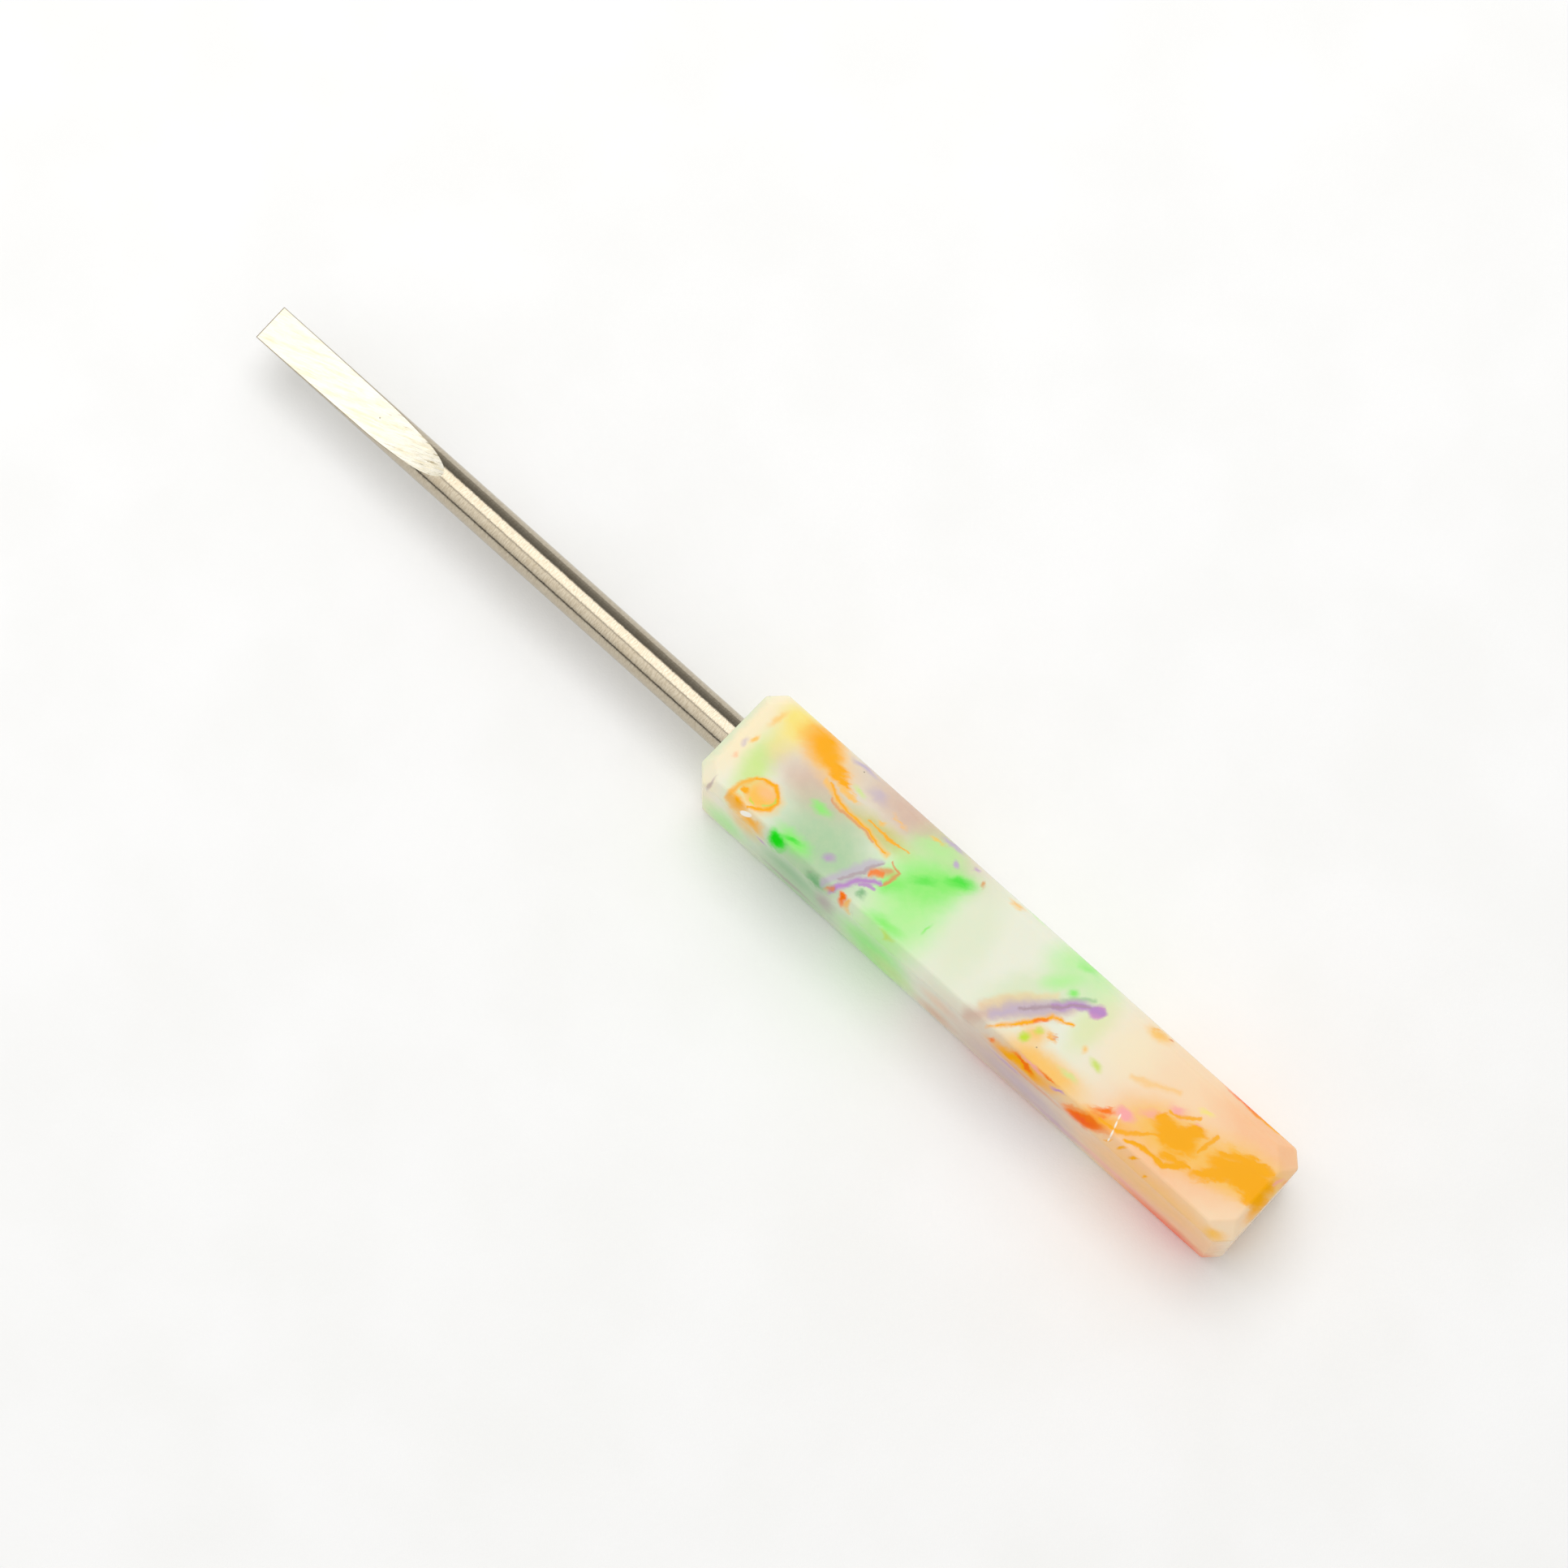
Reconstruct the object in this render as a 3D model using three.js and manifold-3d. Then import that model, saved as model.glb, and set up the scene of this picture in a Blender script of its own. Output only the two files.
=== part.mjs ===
// A hand-made spudger: a round steel rod, ground to a thin square-ended blade at one end,
// glued by its plain end into a bar of cast resin that serves as the handle.
//
// Millimetres. X runs along the tool towards the blade's tip, Z is up, and the handle's
// underside lies on z = 0. The origin is under the middle of the tool's length and width.

import * as THREE from "three";
import { ConvexGeometry } from "three/addons/geometries/ConvexGeometry.js";
import { mergeVertices } from "three/addons/utils/BufferGeometryUtils.js";
import Module from "manifold-3d";

// Driving dimensions.
const TOTAL_LENGTH = 151.2;
const HANDLE_LENGTH = 78.0;
const HANDLE_FRONT_WIDTH = 14.1;
const HANDLE_REAR_WIDTH = 13.8;
const HANDLE_HEIGHT = 12.5;
const UPPER_BEVEL_HEIGHT = 1.16;
const LOWER_BEVEL_HEIGHT = 1.12;

const ROD_RADIUS = 2.38; // 3/16 inch round stock
const ROD_Y = -0.37; // the bore was drilled a little off centre
const ROD_Z = 6.42;
const TANG_LENGTH = 40; // the part of the rod inside the handle
const TANG_CHAMFER = 0.5;
const GROOVE_COUNT = 3; // ring grooves that key the tang into the glue
const GROOVE_WIDTH = 1.6;
const GROOVE_DEPTH = 0.35;
const GROOVE_PITCH = 9;

const BORE_RADIUS = 2.78; // drilled with a 7/32 inch bit
const BORE_DEPTH = 42;
const GLUE_GAP = 0.05; // clearance on each side of the glue film
const GLUE_SETBACK = 0.15; // the glue ends just inside the bore's mouth

const TIP_HALF_THICKNESS = 0.3;
const WEDGE_LENGTH = 18; // flat part of each ground face
const WEDGE_END_HALF_THICKNESS = 0.93;
const RAMP_LENGTH = 10.1; // hollow-ground run-out from the wedge to the full rod
const RAMP_START_SLOPE = 0.09;
const RAMP_END_SLOPE = 0.2;
const BLADE_ROLL = THREE.MathUtils.degToRad(8.5); // the ground faces lean towards +Y

const ROUND_SEGMENTS = 48;
const RAMP_SEGMENTS = 8;
const CUTTER_MARGIN = 3;

// Worked-out places along X.
const TIP_X = TOTAL_LENGTH / 2;
const REAR_X = -TOTAL_LENGTH / 2;
const FRONT_X = REAR_X + HANDLE_LENGTH;
const TANG_END_X = FRONT_X - TANG_LENGTH;
const BORE_END_X = FRONT_X - BORE_DEPTH;

const { lerp } = THREE.MathUtils;

const wasm = await Module();
wasm.setup();

// A three.js geometry as a manifold solid, and back.
function toSolid(geometry) {
  const bare = geometry.clone();
  bare.deleteAttribute("normal");
  bare.deleteAttribute("uv");
  const merged = mergeVertices(bare, 1e-5);
  return new wasm.Manifold(new wasm.Mesh({
    numProp: 3,
    vertProperties: new Float32Array(merged.attributes.position.array),
    triVerts: new Uint32Array(merged.index.array),
  }));
}

function toGeometry(solid) {
  const mesh = solid.getMesh();
  const geometry = new THREE.BufferGeometry();
  geometry.setAttribute("position", new THREE.BufferAttribute(mesh.vertProperties, 3));
  geometry.setIndex(new THREE.BufferAttribute(mesh.triVerts, 1));
  geometry.computeVertexNormals();
  return geometry;
}

// A solid of revolution about the rod's axis. Each profile point is [x, radius].
function turned(profile) {
  const points = profile.map(([x, radius]) => new THREE.Vector2(radius, x));
  return new THREE.LatheGeometry(points, ROUND_SEGMENTS).rotateZ(-Math.PI / 2);
}

// The handle's outline at four heights, from the underside up. An inset is how far an edge
// stands in from the widest outline; the two long sides state theirs at the front and rear.
const HANDLE_RINGS = [
  {
    z: 0, frontInset: 1.1, rearInset: 1.2, minusYInset: [1.0, 1.2], plusYInset: [1.1, 1.1],
    frontCut: 1.7, rearCut: 1.9,
  },
  {
    z: LOWER_BEVEL_HEIGHT, frontInset: 0, rearInset: 0, minusYInset: [0, 0], plusYInset: [0, 0],
    frontCut: 1.8, rearCut: 1.55,
  },
  {
    z: HANDLE_HEIGHT - UPPER_BEVEL_HEIGHT, frontInset: 0, rearInset: 0, minusYInset: [0, 0],
    plusYInset: [0, 0], frontCut: 1.8, rearCut: 1.55,
  },
  {
    z: HANDLE_HEIGHT, frontInset: 1.19, rearInset: 1.29, minusYInset: [0.88, 1.41],
    plusYInset: [1.1, 1.19], frontCut: 1.75, rearCut: 2.0,
  },
];

function sideY(x, side, ring) {
  const towardsRear = (FRONT_X - x) / HANDLE_LENGTH;
  const [frontInset, rearInset] = side < 0 ? ring.minusYInset : ring.plusYInset;
  const halfWidth = lerp(HANDLE_FRONT_WIDTH, HANDLE_REAR_WIDTH, towardsRear) / 2;
  return side * (halfWidth - lerp(frontInset, rearInset, towardsRear));
}

// Eight corners: each end of each side is cut off diagonally.
function ringCorners(ring) {
  const ends = [
    { x: FRONT_X - ring.frontInset, inward: -ring.frontCut },
    { x: REAR_X + ring.rearInset, inward: ring.rearCut },
  ];
  const corners = [];
  for (const side of [-1, 1]) {
    for (const { x, inward } of ends) {
      corners.push(new THREE.Vector3(x, sideY(x, side, ring) - side * Math.abs(inward), ring.z));
      corners.push(new THREE.Vector3(x + inward, sideY(x + inward, side, ring), ring.z));
    }
  }
  return corners;
}

// The cast bar with its blind bore, which is open at the front.
function handleGeometry() {
  const bar = toSolid(new ConvexGeometry(HANDLE_RINGS.flatMap(ringCorners)));
  const bore = turned([
    [BORE_END_X, 0],
    [BORE_END_X, BORE_RADIUS],
    [FRONT_X + CUTTER_MARGIN, BORE_RADIUS],
    [FRONT_X + CUTTER_MARGIN, 0],
  ]).translate(0, ROD_Y, ROD_Z);
  return toGeometry(bar.subtract(toSolid(bore)));
}

// The tang's outline from its end to the bore's mouth, as [x, radius], with its grooves.
// The glue film follows the same outline from outside, so clearance widens it.
function tangOutline(clearance) {
  const outline = [
    [TANG_END_X - clearance, ROD_RADIUS - TANG_CHAMFER],
    [TANG_END_X + TANG_CHAMFER - clearance, ROD_RADIUS + clearance],
  ];
  for (let i = 1; i <= GROOVE_COUNT; i += 1) {
    const start = TANG_END_X + i * GROOVE_PITCH + clearance;
    const end = start + GROOVE_WIDTH - 2 * clearance;
    const floor = ROD_RADIUS - GROOVE_DEPTH + clearance;
    outline.push([start, ROD_RADIUS + clearance], [start, floor]);
    outline.push([end, floor], [end, ROD_RADIUS + clearance]);
  }
  return outline;
}

// The solid removed above one ground face: flat over the wedge, then a hollow curve
// that climbs out through the top of the rod.
function grindingCutter() {
  const rampStart = new THREE.Vector2(TIP_X - WEDGE_LENGTH, WEDGE_END_HALF_THICKNESS);
  const rampEnd = new THREE.Vector2(rampStart.x - RAMP_LENGTH, ROD_RADIUS);
  // The curve's two end tangents meet at its control point.
  const controlReach = (rampEnd.y - rampStart.y - RAMP_END_SLOPE * RAMP_LENGTH)
    / (RAMP_START_SLOPE - RAMP_END_SLOPE);
  const control = new THREE.Vector2(
    rampStart.x - controlReach,
    rampStart.y + RAMP_START_SLOPE * controlReach,
  );
  const wedgeSlope = (TIP_HALF_THICKNESS - WEDGE_END_HALF_THICKNESS) / WEDGE_LENGTH;
  const outline = new THREE.Shape();
  outline.moveTo(TIP_X + CUTTER_MARGIN, TIP_HALF_THICKNESS + wedgeSlope * CUTTER_MARGIN);
  outline.lineTo(TIP_X + CUTTER_MARGIN, ROD_RADIUS + CUTTER_MARGIN);
  outline.lineTo(rampEnd.x - CUTTER_MARGIN, ROD_RADIUS + CUTTER_MARGIN);
  outline.lineTo(rampEnd.x - CUTTER_MARGIN, ROD_RADIUS + RAMP_END_SLOPE * CUTTER_MARGIN);
  outline.lineTo(rampEnd.x, rampEnd.y);
  outline.quadraticCurveTo(control.x, control.y, rampStart.x, rampStart.y);
  outline.closePath();
  const width = 2 * (ROD_RADIUS + CUTTER_MARGIN);
  return new THREE.ExtrudeGeometry(outline, {
    depth: width, bevelEnabled: false, curveSegments: RAMP_SEGMENTS,
  }).translate(0, 0, -width / 2).rotateX(Math.PI / 2);
}

// Rod, tang and blade are one piece of steel.
function shaftGeometry() {
  const rod = toSolid(turned([
    [TANG_END_X, 0],
    ...tangOutline(0),
    [TIP_X, ROD_RADIUS],
    [TIP_X, 0],
  ]));
  const upperCutter = toSolid(grindingCutter().rotateX(-BLADE_ROLL));
  const lowerCutter = toSolid(grindingCutter().rotateX(Math.PI - BLADE_ROLL));
  return toGeometry(rod.subtract(upperCutter).subtract(lowerCutter));
}

// The hardened glue fills the bore behind the tang and the ring around it.
function glueGeometry() {
  const outerRadius = BORE_RADIUS - GLUE_GAP;
  const mouthX = FRONT_X - GLUE_SETBACK;
  return turned([
    [BORE_END_X + GLUE_GAP, 0],
    [BORE_END_X + GLUE_GAP, outerRadius],
    [mouthX, outerRadius],
    [mouthX, ROD_RADIUS + GLUE_GAP],
    ...tangOutline(GLUE_GAP).reverse(),
    [TANG_END_X - GLUE_GAP, 0],
  ]);
}

const RESIN = { color: 0xe8cfa0, roughness: 0.22, metalness: 0 };
const STEEL = { color: 0xc9c2b2, roughness: 0.24, metalness: 1 };
const GLUE = { color: 0xd9c27e, roughness: 0.3, metalness: 0 };

function piece(name, geometry, material) {
  const mesh = new THREE.Mesh(geometry, new THREE.MeshStandardMaterial(material));
  mesh.name = name;
  return mesh;
}

const spudger = new THREE.Group();
spudger.add(piece("resin_handle", handleGeometry(), RESIN));

// The rod and its glue share an axis, which lies a little off the handle's own.
const bonded = new THREE.Group();
bonded.position.set(0, ROD_Y, ROD_Z);
bonded.add(piece("steel_blade_shaft", shaftGeometry(), STEEL));
bonded.add(piece("glue_bond", glueGeometry(), GLUE));
spudger.add(bonded);

export default spudger;
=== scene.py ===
import math
import random

import bmesh
import bpy
from mathutils import Matrix, Vector


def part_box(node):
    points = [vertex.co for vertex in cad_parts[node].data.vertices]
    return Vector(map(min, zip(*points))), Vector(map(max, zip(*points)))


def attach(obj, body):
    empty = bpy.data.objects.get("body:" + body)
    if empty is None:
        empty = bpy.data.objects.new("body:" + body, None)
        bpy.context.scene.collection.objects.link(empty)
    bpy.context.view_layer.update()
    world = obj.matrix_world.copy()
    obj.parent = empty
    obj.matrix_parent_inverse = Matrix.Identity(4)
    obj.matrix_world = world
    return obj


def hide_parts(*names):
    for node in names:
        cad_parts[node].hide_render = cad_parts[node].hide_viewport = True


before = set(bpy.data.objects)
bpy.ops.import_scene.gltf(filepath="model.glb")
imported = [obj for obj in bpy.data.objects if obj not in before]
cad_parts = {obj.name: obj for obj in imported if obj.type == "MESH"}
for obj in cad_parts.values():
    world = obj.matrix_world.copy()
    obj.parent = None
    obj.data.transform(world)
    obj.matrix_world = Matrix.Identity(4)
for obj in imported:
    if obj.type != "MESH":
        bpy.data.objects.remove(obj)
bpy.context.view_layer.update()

# ---------------------------------------------------------------- units and sizes
# Lengths are in millimetres until MM turns them into Blender's metres.
MM = 0.001


def box_mm(node):
    low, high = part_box(node)
    return Vector(low) / MM, Vector(high) / MM


HANDLE_LOW, HANDLE_HIGH = box_mm("resin_handle")
SHAFT_LOW, SHAFT_HIGH = box_mm("steel_blade_shaft")
GLUE_LOW, _ = box_mm("glue_bond")

FRONT_X, REAR_X = HANDLE_HIGH.x, HANDLE_LOW.x
HANDLE_LENGTH = FRONT_X - REAR_X
HANDLE_TOP = HANDLE_HIGH.z
FRONT_HALF_WIDTH = HANDLE_HIGH.y
REAR_HALF_WIDTH = 6.9
UPPER_BEVEL_HEIGHT = 1.16
LOWER_BEVEL_HEIGHT = 1.12
EDGE_ROUNDING = 0.2

ROD_RADIUS = 2.38
ROD_Y, ROD_Z = -0.37, 6.42
TIP_X, TANG_END_X = SHAFT_HIGH.x, SHAFT_LOW.x
CAD_GLUE_GAP = 0.05
BORE_RADIUS, BORE_END_X = 2.78, GLUE_LOW.x - CAD_GLUE_GAP
GLUE_GAP = 0.01
GLUE_SETBACK = 0.15
MENISCUS_SAG, MENISCUS_LIFT = 0.16, 0.1
TANG_CHAMFER = 0.5
GROOVE_STARTS = (9, 18, 27)
GROOVE_WIDTH, GROOVE_DEPTH = 1.6, 0.35

TIP_HALF_THICKNESS = 0.3
WEDGE_LENGTH, WEDGE_END_HALF_THICKNESS = 18, 0.93
RAMP_LENGTH, RAMP_START_SLOPE, RAMP_END_SLOPE = 10.1, 0.09, 0.2
BLADE_ROLL = math.radians(8.5)
# Straight out from the upper ground face, and across it towards +Y.
BLADE_OUTWARD = (0, math.sin(BLADE_ROLL), math.cos(BLADE_ROLL))
BLADE_SIDEWAYS = (0, math.cos(BLADE_ROLL), -math.sin(BLADE_ROLL))
BLADE_LENGTH = WEDGE_LENGTH + RAMP_LENGTH
STEEL_EDGE_ROUNDING = 0.05
CUTTER_MARGIN = 3

SHAFT_SEGMENTS, BORE_SEGMENTS = 128, 96
SHAFT_STATIONS, RAMP_STEPS, MENISCUS_STEPS = 40, 36, 10


# ---------------------------------------------------------------- mesh helpers
def new_object(name, bm):
    mesh = bpy.data.meshes.new(name)
    bmesh.ops.recalc_face_normals(bm, faces=bm.faces)
    bmesh.ops.scale(bm, verts=bm.verts, vec=(MM, MM, MM))
    bm.to_mesh(mesh)
    bm.free()
    piece = bpy.data.objects.new(name, mesh)
    bpy.context.scene.collection.objects.link(piece)
    return piece


def turned(profile, segments):
    """A solid of revolution about the rod's axis. Each profile point is (x, radius), and the
    profile starts and ends on the axis or closes on itself."""
    bm = bmesh.new()
    closed = profile[0][1] > 0
    rings = []
    for x, radius in profile:
        if radius == 0:
            rings.append([bm.verts.new((x, 0, 0))])
            continue
        turn = 2 * math.pi / segments
        rings.append([
            bm.verts.new((x, radius * math.cos(i * turn), radius * math.sin(i * turn)))
            for i in range(segments)
        ])
    pairs = list(zip(rings, rings[1:]))
    if closed:
        pairs.append((rings[-1], rings[0]))
    for first, second in pairs:
        for i in range(segments):
            j = (i + 1) % segments
            corners = [first[i % len(first)], first[j % len(first)],
                       second[j % len(second)], second[i % len(second)]]
            bm.faces.new(list(dict.fromkeys(corners)))
    bmesh.ops.translate(bm, verts=bm.verts, vec=(0, ROD_Y, ROD_Z))
    return bm


def cut(piece, *cutters):
    """Subtracts the cutters from the piece and deletes them."""
    for cutter in cutters:
        step = piece.modifiers.new("cut", "BOOLEAN")
        step.operation = "DIFFERENCE"
        step.solver = "EXACT"
        step.object = cutter
    settle(piece)
    for cutter in cutters:
        bpy.data.objects.remove(cutter)


def settle(piece):
    """Applies the piece's modifiers to its mesh."""
    graph = bpy.context.evaluated_depsgraph_get()
    mesh = bpy.data.meshes.new_from_object(piece.evaluated_get(graph))
    piece.modifiers.clear()
    piece.data = mesh


def round_edges(piece, width, segments, least_angle):
    """Rounds every edge sharper than least_angle, in degrees."""
    step = piece.modifiers.new("rounding", "BEVEL")
    step.width = width * MM
    step.segments = segments
    step.limit_method = "ANGLE"
    step.angle_limit = math.radians(least_angle)
    step.use_clamp_overlap = True
    settle(piece)


def shade_smooth(piece, sharp_angle):
    piece.data.polygons.foreach_set("use_smooth", [True] * len(piece.data.polygons))
    piece.data.set_sharp_from_angle(angle=math.radians(sharp_angle))


def finish_piece(piece, node, slot, *materials):
    for material in materials:
        piece.data.materials.append(material)
    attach(piece, "root")
    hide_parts(node)


# ---------------------------------------------------------------- the three pieces
# The handle's outline at four heights, from the underside up. Insets are (front, rear).
HANDLE_RINGS = [
    dict(z=0, ends=(1.1, 1.2), minus_y=(1.0, 1.2), plus_y=(1.1, 1.1), cuts=(1.7, 1.9)),
    dict(z=LOWER_BEVEL_HEIGHT, ends=(0, 0), minus_y=(0, 0), plus_y=(0, 0), cuts=(1.8, 1.55)),
    dict(z=HANDLE_TOP - UPPER_BEVEL_HEIGHT, ends=(0, 0), minus_y=(0, 0), plus_y=(0, 0),
         cuts=(1.8, 1.55)),
    dict(z=HANDLE_TOP, ends=(1.19, 1.29), minus_y=(0.88, 1.41), plus_y=(1.1, 1.19),
         cuts=(1.75, 2.0)),
]


def lerp(a, b, share):
    return a + (b - a) * share


def side_y(x, side, insets):
    towards_rear = (FRONT_X - x) / HANDLE_LENGTH
    half_width = lerp(FRONT_HALF_WIDTH, REAR_HALF_WIDTH, towards_rear)
    return side * (half_width - lerp(*insets, towards_rear))


def ring_corners(ring):
    """Eight corners in order round the outline: each end of each side is cut off."""
    front, rear = FRONT_X - ring["ends"][0], REAR_X + ring["ends"][1]
    front_cut, rear_cut = ring["cuts"]
    minus, plus = ring["minus_y"], ring["plus_y"]
    outline = [
        (front, side_y(front, 1, plus) - front_cut),
        (front - front_cut, side_y(front - front_cut, 1, plus)),
        (rear + rear_cut, side_y(rear + rear_cut, 1, plus)),
        (rear, side_y(rear, 1, plus) - rear_cut),
        (rear, side_y(rear, -1, minus) + rear_cut),
        (rear + rear_cut, side_y(rear + rear_cut, -1, minus)),
        (front - front_cut, side_y(front - front_cut, -1, minus)),
        (front, side_y(front, -1, minus) + front_cut),
    ]
    return [(x, y, ring["z"]) for x, y in outline]


def build_handle():
    bm = bmesh.new()
    rings = [[bm.verts.new(corner) for corner in ring_corners(ring)] for ring in HANDLE_RINGS]
    bm.faces.new(rings[0])
    bm.faces.new(rings[-1])
    for lower, upper in zip(rings, rings[1:]):
        for i in range(8):
            j = (i + 1) % 8
            bm.faces.new([lower[i], lower[j], upper[j], upper[i]])
    handle = new_object("resin_handle_swirled", bm)
    past_front = FRONT_X + CUTTER_MARGIN
    bore_profile = [(BORE_END_X, 0), (BORE_END_X, BORE_RADIUS), (past_front, BORE_RADIUS),
                    (past_front, 0)]
    bore = new_object("bore_cutter", turned(bore_profile, BORE_SEGMENTS))
    cut(handle, bore)
    round_edges(handle, EDGE_ROUNDING, 3, 20)
    shade_smooth(handle, 35)
    normals = handle.modifiers.new("even_normals", "WEIGHTED_NORMAL")
    normals.keep_sharp = True
    settle(handle)
    return handle


def tang_outline(clearance):
    """The tang from its end to the bore's mouth as (x, radius), with its keying grooves."""
    outline = [(TANG_END_X - clearance, ROD_RADIUS - TANG_CHAMFER),
               (TANG_END_X + TANG_CHAMFER - clearance, ROD_RADIUS + clearance)]
    for offset in GROOVE_STARTS:
        start = TANG_END_X + offset + clearance
        end = start + GROOVE_WIDTH - 2 * clearance
        floor = ROD_RADIUS - GROOVE_DEPTH + clearance
        wall = ROD_RADIUS + clearance
        outline += [(start, wall), (start, floor), (end, floor), (end, wall)]
    return outline


def ramp_points(steps):
    """The hollow-ground run-out in side view, from the wedge's end to the full rod."""
    start = Vector((TIP_X - WEDGE_LENGTH, WEDGE_END_HALF_THICKNESS))
    end = Vector((start.x - RAMP_LENGTH, ROD_RADIUS))
    reach = (end.y - start.y - RAMP_END_SLOPE * RAMP_LENGTH) / (RAMP_START_SLOPE - RAMP_END_SLOPE)
    control = Vector((start.x - reach, start.y + RAMP_START_SLOPE * reach))
    points = []
    for i in range(steps + 1):
        t = i / steps
        points.append(start * (1 - t) ** 2 + control * 2 * t * (1 - t) + end * t ** 2)
    return points


def grinding_cutter(name, turn):
    """The material removed above one ground face, turned about the rod's axis."""
    past_tip, outside = TIP_X + CUTTER_MARGIN, ROD_RADIUS + CUTTER_MARGIN
    wedge_slope = (TIP_HALF_THICKNESS - WEDGE_END_HALF_THICKNESS) / WEDGE_LENGTH
    ramp = ramp_points(RAMP_STEPS)
    before_ramp = ramp[-1].x - CUTTER_MARGIN
    outline = [(past_tip, outside),
               (past_tip, TIP_HALF_THICKNESS + wedge_slope * CUTTER_MARGIN)]
    outline += [(point.x, point.y) for point in ramp]
    outline += [(before_ramp, ROD_RADIUS + RAMP_END_SLOPE * CUTTER_MARGIN),
                (before_ramp, outside)]
    bm = bmesh.new()
    near = [bm.verts.new((x, -outside, z)) for x, z in outline]
    far = [bm.verts.new((x, outside, z)) for x, z in outline]
    bm.faces.new(near)
    bm.faces.new(far)
    for i in range(len(outline)):
        j = (i + 1) % len(outline)
        bm.faces.new([near[i], near[j], far[j], far[i]])
    for vert in bm.verts:
        y, z = vert.co.y, vert.co.z
        vert.co.y = y * math.cos(turn) - z * math.sin(turn) + ROD_Y
        vert.co.z = y * math.sin(turn) + z * math.cos(turn) + ROD_Z
    return new_object(name, bm)


def build_shaft():
    inside_mouth = FRONT_X - 0.5
    profile = [(TANG_END_X, 0), *tang_outline(0), (inside_mouth, ROD_RADIUS)]
    for i in range(SHAFT_STATIONS + 1):
        profile.append((lerp(FRONT_X, TIP_X, i / SHAFT_STATIONS), ROD_RADIUS))
    profile.append((TIP_X, 0))
    shaft = new_object("steel_blade_shaft_ground", turned(profile, SHAFT_SEGMENTS))
    cut(shaft, grinding_cutter("upper_cutter", -BLADE_ROLL),
        grinding_cutter("lower_cutter", math.pi - BLADE_ROLL))
    round_edges(shaft, STEEL_EDGE_ROUNDING, 2, 28)
    shade_smooth(shaft, 8)
    mark_ground_faces(shaft)
    return shaft


def mark_ground_faces(shaft):
    """Gives the two ground faces the second material slot. They are the faces on the blade
    that are as level as the ramp and lie inside the rod's round surface."""
    level_margin, round_margin, rim_margin = math.radians(1), 0.01, 0.004
    upward = Vector(BLADE_OUTWARD)
    steepest = math.cos(math.atan(RAMP_END_SLOPE) + level_margin)
    blade_start = (TIP_X - BLADE_LENGTH) * MM
    for face in shaft.data.polygons:
        on_blade = face.center.x > blade_start
        level = abs(face.normal.y * upward.y + face.normal.z * upward.z) > steepest
        offset = Vector((0, face.center.y - ROD_Y * MM, face.center.z - ROD_Z * MM))
        below_round = abs(offset.dot(upward)) < (ROD_RADIUS - round_margin) * MM
        narrow = offset.length < (ROD_RADIUS - rim_margin) * MM
        if on_blade and level and below_round and narrow:
            face.material_index = 1


def build_glue():
    """The glue film, with a hollow meniscus at the bore's mouth."""
    outer, inner = BORE_RADIUS - GLUE_GAP, ROD_RADIUS + GLUE_GAP
    mouth = FRONT_X - GLUE_SETBACK
    meniscus = []
    for i in range(MENISCUS_STEPS + 1):
        across = i / MENISCUS_STEPS
        dip = MENISCUS_SAG * math.sin(math.pi * across) ** 0.8
        lift = MENISCUS_LIFT * (across - 0.5)
        meniscus.append((mouth - dip + lift, lerp(outer, inner, across)))
    profile = [(BORE_END_X + GLUE_GAP, 0), (BORE_END_X + GLUE_GAP, outer), *meniscus,
               *reversed(tang_outline(GLUE_GAP)), (TANG_END_X - GLUE_GAP, 0)]
    glue = new_object("glue_bond_film", turned(profile, BORE_SEGMENTS))
    shade_smooth(glue, 40)
    return glue


# ---------------------------------------------------------------- node helpers
def linear(red, green, blue):
    """A colour given as 0 to 255 screen values, as the linear values that Blender takes."""
    def channel(value):
        value /= 255
        return value / 12.92 if value <= 0.04045 else ((value + 0.055) / 1.055) ** 2.4
    return (channel(red), channel(green), channel(blue), 1)


def add_node(tree, kind, inputs=(), **settings):
    """A new node. inputs maps a socket's name or number to a value or to another socket."""
    node = tree.nodes.new(kind)
    for name, value in settings.items():
        setattr(node, name, value)
    for key, value in dict(inputs).items():
        socket = node.inputs[key]
        if isinstance(value, bpy.types.NodeSocket):
            tree.links.new(value, socket)
        else:
            socket.default_value = value
    return node


def maths(tree, operation, *values):
    return add_node(tree, "ShaderNodeMath", enumerate(values), operation=operation).outputs[0]


def vector_maths(tree, operation, *values):
    node = add_node(tree, "ShaderNodeVectorMath", enumerate(values), operation=operation)
    return node.outputs["Value" if operation in ("LENGTH", "DOT_PRODUCT") else "Vector"]


def blend_colour(tree, share, first, second):
    """Goes from the first colour to the second as share goes from 0 to 1."""
    return add_node(tree, "ShaderNodeMix", {0: share, 6: first, 7: second},
                    data_type="RGBA").outputs[2]


def smooth_step(tree, value, start, end, low=0.0, high=1.0):
    inputs = {"Value": value, "From Min": start, "From Max": end, "To Min": low, "To Max": high}
    return add_node(tree, "ShaderNodeMapRange", inputs, interpolation_type="SMOOTHSTEP",
                    clamp=False).outputs[0]


def noise(tree, vector, scale, detail=2.0, roughness=0.5, output="Fac"):
    inputs = {"Vector": vector, "Scale": scale, "Detail": detail, "Roughness": roughness}
    return add_node(tree, "ShaderNodeTexNoise", inputs).outputs[output]


def stretched(tree, vector, scale, turn):
    """Coordinates turned about Z by an angle in degrees, then scaled."""
    turned_vector = add_node(tree, "ShaderNodeVectorRotate",
                             {"Vector": vector, "Angle": math.radians(turn)},
                             rotation_type="Z_AXIS").outputs[0]
    return vector_maths(tree, "MULTIPLY", turned_vector, scale)


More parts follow.
